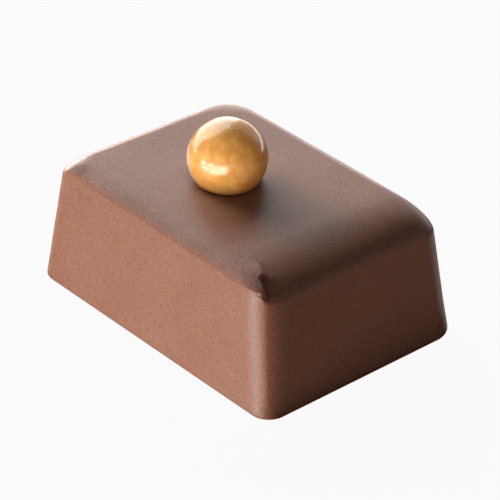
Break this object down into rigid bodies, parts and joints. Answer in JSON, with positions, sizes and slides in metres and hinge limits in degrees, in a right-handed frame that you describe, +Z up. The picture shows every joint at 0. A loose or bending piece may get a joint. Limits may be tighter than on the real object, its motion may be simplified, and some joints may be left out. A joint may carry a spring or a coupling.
{
  "type": "ganache chocolate",
  "caption": "Small rectangular ganache chocolate with leaning walls, a softly rolled matte top and a golden pearl sunk into it.",
  "frame": {"origin": "centre of the flat base, in the middle of the block's bounding box", "axes": "+X along the block's length, +Y across it, +Z up through the pearl"},
  "size_m": [0.0318, 0.0228, 0.0182],
  "materials": {
    "milk_chocolate": "matte milk chocolate with a fine sandy grain and a faint greyish sheen",
    "pearl_shell": "polished golden caramel shell with a soft lustre"
  },
  "bodies": {
    "root": {"chocolate_body": "milk_chocolate", "golden_pearl": "pearl_shell"}
  },
  "joints": []
}
